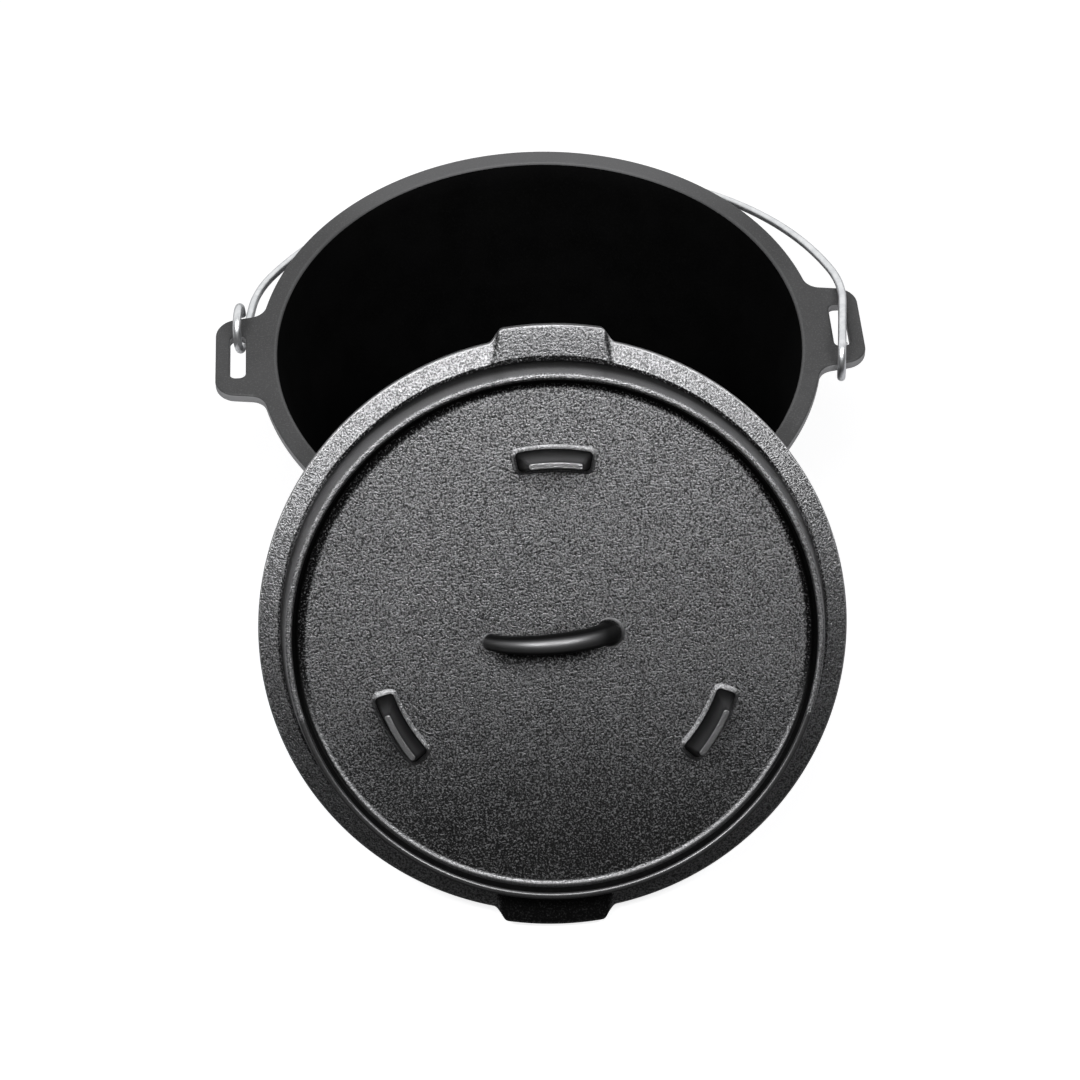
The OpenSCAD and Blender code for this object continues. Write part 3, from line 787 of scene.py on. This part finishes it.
def buildFoot():  # one foot at +Y, bent round the lid's middle
    shell, previous = Shell(), None
    for height, spread in footRows():
        share = np.clip(height / feet["high"], 0, 1)
        halfLong = (feet["long"] + (feet["tipLong"] - feet["long"]) * share) / 2 + spread
        halfWide = (feet["wide"] + (feet["tipWide"] - feet["wide"]) * share) / 2 + spread
        corner = feet["corner"] + max(spread, 0.0) - feet["cornerLess"] * share
        flat = footOutline(halfLong, halfWide, corner)
        out, turn = feet["circle"] + flat[:, 1], flat[:, 0] / feet["circle"]
        points = lifted(np.column_stack([out * np.sin(turn), out * np.cos(turn)]), plateZ + height)
        row = shell.add(points, *footTraits(height))
        if previous is None:
            shell.fill([[row + i for i in range(len(flat))][::-1]])
        else:
            shell.join(row, previous, len(flat))
        previous = row
    shell.fill([[previous + i for i in range(len(flat))]])
    return shell


lidFeet = grow(finishShell("lidFeet", buildFoot(), [lidSmooth]), copyRing,
               {"Count": feet["count"], "Turn": math.tau / feet["count"], "Material": lidSmooth})
print("lid feet:", len(lidFeet.data.polygons), "faces")


def handleTraits(near, share, around):  # near is 1 at the plate, share runs from the right end to the left
    # painted shade on the handle's sides and its right end, fading out at the roots; the roots' flares get a
    # painted highlight
    sides = handleWearAndShade["sideShade"] * smooth(*handleWearAndShade["sides"], np.abs(np.sin(around)))
    right = handleWearAndShade["rightShade"] * (1 - smooth(*handleWearAndShade["right"], share))
    paintedShade = (1 - smooth(*handleWearAndShade["shadeEnds"], near)) * np.maximum(sides, right)
    return float(near > handleWearAndShade["grainFrom"]), smooth(*handleWearAndShade["worn"], near), paintedShade


def buildHandle():
    half, rise = handle["span"] / 2, feet["high"] - handle["below"] - handle["thick"] / 2
    bend = (half ** 2 + rise ** 2) / (2 * rise)
    middleZ = plateZ + rise - bend
    start = math.asin((plateZ - handle["sunk"] - middleZ) / bend)
    shell, previous, sides = Shell(), None, handle["sides"]
    around = np.linspace(0, 2 * math.pi, sides, endpoint=False)
    low, high = handle["endShare"], 1 - handle["endShare"]
    shares = np.concatenate([np.linspace(0, low, handle["endRows"]),
                             np.linspace(low, high, handle["middleRows"])[1:-1],
                             np.linspace(high, 1, handle["endRows"])])
    for share in shares:
        angle = start + (math.pi - 2 * start) * share
        over = np.array([math.cos(angle), 0, math.sin(angle)])
        centre = bend * over + (0, 0, middleZ)
        near = np.clip(1 - (centre[2] - plateZ) / handle["flareHigh"], 0, 1)
        level = np.array([math.copysign(1, centre[0]), 0, 0])
        over = unit(over * (1 - near ** 2) + level * near ** 2)
        swell = np.interp(share, [0, handle["fullShare"], 1], [handle["rightShare"], 1, handle["leftShare"]])
        flare = handle["flareRight"] if centre[0] > 0 else handle["flareLeft"]
        radius = swell * handle["thick"] / 2 + flare * (1 - math.sqrt(1 - near ** 2))
        circle = np.cos(around)[:, None] * over + np.sin(around)[:, None] * np.array([0, 1, 0])
        row = shell.add(centre + radius * circle, *handleTraits(near, share, around))
        if previous is None:
            shell.fill([[row + i for i in range(sides)]])
        else:
            shell.join(previous, row, sides)
        previous = row
    shell.fill([[previous + i for i in range(sides)][::-1]])
    return shell


lidHandle = finishShell("lidHandle", buildHandle(), [castIron("handleIron", handleLook)])
lidHandle.data.transform(Matrix.Translation(Vector((handle["x"] * mm, 0, 0)))
                         @ Matrix.Rotation(math.radians(handle["turn"]), 4, "Z"))
for piece in (lidBody, lidFeet, lidHandle):
    piece.data.transform(lidPlace)
print("lid handle:", len(lidHandle.data.polygons), "faces")


# The bail: one bent wire, hooked round the rear bar at -X and the front bar at +X
bail = {
    "wire": 4.8, "hookGap": 1.0, "hookLift": 1.75, "hookInset": 2.0, "hookAside": 1.6,
    "hookStart": 180.0, "hookSweep": 268.0, "bowGap": 1.8, "bowFlat": 11.0, "shoulder": 72.0,
    "endShares": (0.78, 0.95, 1.0), "sides": 20,
    "hookPoints": 60, "legPoints": 10, "shoulderPoints": 12, "bowPoints": 70,
}
bailLook = {
    "spangle": 5.0, "spangleLow": 0.35, "spangleHigh": 0.65, "scratch": 0.6, "scratchHigh": 0.008,
    "dull": (0.72, 0.735, 0.75, 1), "bright": (0.84, 0.85, 0.86, 1), "rough": 0.32, "roughSpread": 0.1,
}


def bailPath():
    hookX = slotX - bail["hookInset"]
    barWide = earHalf(hookX) - pot["slotLong"] / 2
    barY = (earHalf(hookX) + pot["slotLong"] / 2) / 2
    barReach = math.hypot(barWide / 2, pot["earThick"] / 2 + bail["hookLift"])
    hookR = barReach + bail["hookGap"] + bail["wire"] / 2
    hingeHalf, skew = math.hypot(hookX, barY), math.atan2(barY, hookX)
    halfWide, roll = math.hypot(hingeHalf, hookR), math.atan2(hookR, hingeHalf)
    bowTop = lid["radius"] + lid["tabReach"] + bail["bowGap"] + bail["wire"] / 2
    bowR = halfWide + bail["bowFlat"]
    bowMid = bowTop - bowR
    shoulder = bail["shoulder"]
    legLong = bowMid + math.sqrt((bowR - shoulder) ** 2 - (halfWide - shoulder) ** 2)
    shoulderTurn = math.atan2(legLong - bowMid, halfWide - shoulder)
    edgeRun = (earHalf(slotX + pot["slotWide"] / 2) + barY) / math.cos(skew)
    legRest = pot["earThick"] / 2 - bail["hookLift"] + lid["restGap"] + bail["wire"] / 2
    drop = math.acos(legRest / math.hypot(hookR, edgeRun)) - math.atan2(edgeRun, hookR)
    hookStart, hookEnd = bail["hookStart"], bail["hookStart"] + bail["hookSweep"]
    hook = [(hingeHalf + bail["hookAside"] * smooth(hookStart, hookEnd, a),  # its end stands beside the leg
             hookR * math.sin(math.radians(a)), -hookR * math.cos(math.radians(a)))
            for a in np.linspace(hookEnd, hookStart, bail["hookPoints"])]
    flat = [(halfWide, y) for y in np.linspace(0, legLong, bail["legPoints"])[1:]]
    shoulderMid = np.array([halfWide - shoulder, legLong])
    flat += arc(shoulderMid, shoulder, 0, shoulderTurn, bail["shoulderPoints"])[1:]
    flat += arc(np.array([0.0, bowMid]), bowR, shoulderTurn, math.pi / 2, bail["bowPoints"])[1:]
    flat = [(x * math.cos(roll), y, x * math.sin(roll)) for x, y in flat]
    right = np.array(hook + flat)
    whole = np.vstack([right, (right * (-1, 1, -1))[::-1][1:]])
    hingeZ = rimZ - pot["earThick"] / 2 + bail["hookLift"]
    place = (Matrix.Translation(Vector((0, 0, hingeZ))) @ Matrix.Rotation(-skew, 4, "Z")
             @ Matrix.Rotation(-drop, 4, "X"))
    return np.array([place @ Vector(point) for point in whole])


bailZinc = zincWire("bailZinc", bailLook)
wirePath = bailPath()
wireSteps = np.arange(len(wirePath))
wireShare = np.interp(np.minimum(wireSteps, wireSteps[::-1]), [0, 1, 2], bail["endShares"])  # rounds the ends
bailWire = addMesh("bailWire", wirePath, [], bailZinc, {"wireShare": wireShare})
bailWire.data.edges.add(len(wirePath) - 1)
bailWire.data.edges.foreach_set("vertices", np.column_stack([wireSteps[:-1], wireSteps[1:]]).ravel())
grow(bailWire, wireTree("wireAlongPath"),
     {"Diameter": bail["wire"] * mm, "Sides": bail["sides"], "Material": bailZinc})
print("bail:", len(bailWire.data.polygons), "faces")

for piece, body, slot in ((potBody, "pot", "pot_iron"), (potLegs, "pot", "pot_iron"),
                          (lidBody, "lid", "lid_iron"), (lidFeet, "lid", "lid_iron"),
                          (lidHandle, "lid", "lid_iron"), (bailWire, "bail", "bail_zinc")):
    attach(piece, body)
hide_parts("pot")
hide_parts("lid")
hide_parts("bail")

# Floor, camera and light
studio = {
    "floorHalf": 4.0, "floorGap": 0.2, "floorWhite": 0.8, "floorSeen": 0.5, "floorLift": 0.8,
    "fadeFrom": 0.7, "fadeTo": 2.0, "cardDark": 0.03, "cardFrom": -0.12, "cardTo": -0.3,
    "ambient": 0.1, "backFrom": -0.3, "backTo": 0.4, "aim": (0.0, -0.15, 0.1),
}
lamps = [  # name, power, place, width and height
    ("left", 10.0, (-0.6, -0.74, 1.29), 0.8, 0.22),
    ("right", 8.5, (0.58, -0.74, 1.29), 0.8, 0.22),
    ("middle", 2.6, (-0.03, -0.42, 1.02), 0.4, 0.2),
]
cameraLook = {"lens": 100.0, "sensor": 36.0, "farEnd": 50.0, "pitch": 49.264, "yaw": 2.5, "roll": 1.269,
              "place": (-54.63, -1202.31, 1222.71)}  # place from the middle of the rim


def addCamera():
    pitch, yaw, roll = (math.radians(cameraLook[name]) for name in ("pitch", "yaw", "roll"))
    ahead = Vector((math.sin(yaw) * math.cos(pitch), math.cos(yaw) * math.cos(pitch), -math.sin(pitch)))
    right = Vector((math.cos(yaw), -math.sin(yaw), 0))
    down = ahead.cross(right)
    acrossAxis = right * math.cos(roll) + down * math.sin(roll)
    downAxis = down * math.cos(roll) - right * math.sin(roll)
    turn = Matrix((acrossAxis, -downAxis, -ahead)).transposed().to_4x4()
    data = bpy.data.cameras.new("camera")
    data.lens, data.sensor_width, data.clip_end = (cameraLook[name] for name in ("lens", "sensor", "farEnd"))
    camera = bpy.data.objects.new("camera", data)
    camera.matrix_world = Matrix.Translation((Vector(cameraLook["place"]) + Vector((0, 0, rimZ))) * mm) @ turn
    scene.collection.objects.link(camera)
    scene.camera = camera


def addLamp(name, power, place, wide, high):
    data = bpy.data.lights.new(name, "AREA")
    data.energy, data.shape, data.size, data.size_y = power, "RECTANGLE", wide, high
    lamp = bpy.data.objects.new(name, data)
    lamp.location = place
    lamp.rotation_euler = (Vector(studio["aim"]) - lamp.location).to_track_quat("-Z", "Y").to_euler()
    scene.collection.objects.link(lamp)


def rayKinds(shade):
    return [shade.node("LightPath", out=f"Is {kind} Ray") for kind in ("Camera", "Glossy", "Transmission")]


def floorPaint():  # seen directly it is a lifted white that keeps the shadow
    material, shade = startMaterial("floorPaint")
    seen, shine, through = rayKinds(shade)
    place = shade.node("TexCoord", out="Object")
    forward = shade.node("SeparateXYZ", None, {"Vector": place}, out="Y")
    far = shade.node("VectorMath", {"operation": "LENGTH"}, {0: place}, out="Value")
    card = forward.rise(studio["cardTo"], studio["cardFrom"])  # in shiny parts its front is a dark card
    paint = shade.node("BsdfDiffuse", None, {"Color": grey(studio["floorWhite"])})
    dark = shade.node("BsdfDiffuse", None, {"Color": grey(studio["cardDark"])})
    thin = shade.node("BsdfDiffuse", None, {"Color": grey(studio["floorSeen"])})
    lift = shade.node("Emission", None, {"Color": (1, 1, 1, 1), "Strength": studio["floorLift"]})
    white = shade.node("Emission", None, {"Color": (1, 1, 1, 1), "Strength": 1.0})
    both = shade.node("AddShader", None, {0: thin, 1: lift})
    fade = far.rise(studio["fadeFrom"], studio["fadeTo"])
    both = shade.node("MixShader", None, {0: fade, 1: both, 2: white})
    dark = shade.node("MixShader", None, {0: card, 1: dark, 2: paint})
    mixed = shade.node("MixShader", None, {0: shine, 1: paint, 2: dark})
    mixed = shade.node("MixShader", None, {0: seen + through, 1: mixed, 2: both})
    shade.node("OutputMaterial", None, {"Surface": mixed})
    return material


def whiteWorld():
    world = bpy.data.worlds.new("whiteRoom")
    world.use_nodes = True
    world.node_tree.nodes.clear()
    shade = Shade(world.node_tree)
    seen, shine, through = rayKinds(shade)
    back = shade.node("SeparateXYZ", None, {"Vector": shade.node("TexCoord", out="Object")}, out="Y")
    behind = back.rise(studio["backFrom"], studio["backTo"])  # in shiny parts the white is behind the object
    direct = seen + through + shine * behind
    soft = shade.node("Background", None, {"Color": (1, 1, 1, 1), "Strength": studio["ambient"]})
    white = shade.node("Background", None, {"Color": (1, 1, 1, 1), "Strength": 1.0})
    mixed = shade.node("MixShader", None, {0: direct, 1: soft, 2: white})
    shade.node("OutputWorld", None, {"Surface": mixed})
    scene.world = world


addCamera()
for lamp in lamps:
    addLamp(*lamp)
whiteWorld()
floorHalf, floorZ = studio["floorHalf"] / mm, groundZ - studio["floorGap"]
floorCorners = [(x * floorHalf, y * floorHalf, floorZ) for x, y in ((-1, -1), (1, -1), (1, 1), (-1, 1))]
floor = addMesh("floor", floorCorners, [[0, 1, 2, 3]], floorPaint(), {})
scene.view_settings.view_transform = "Standard"
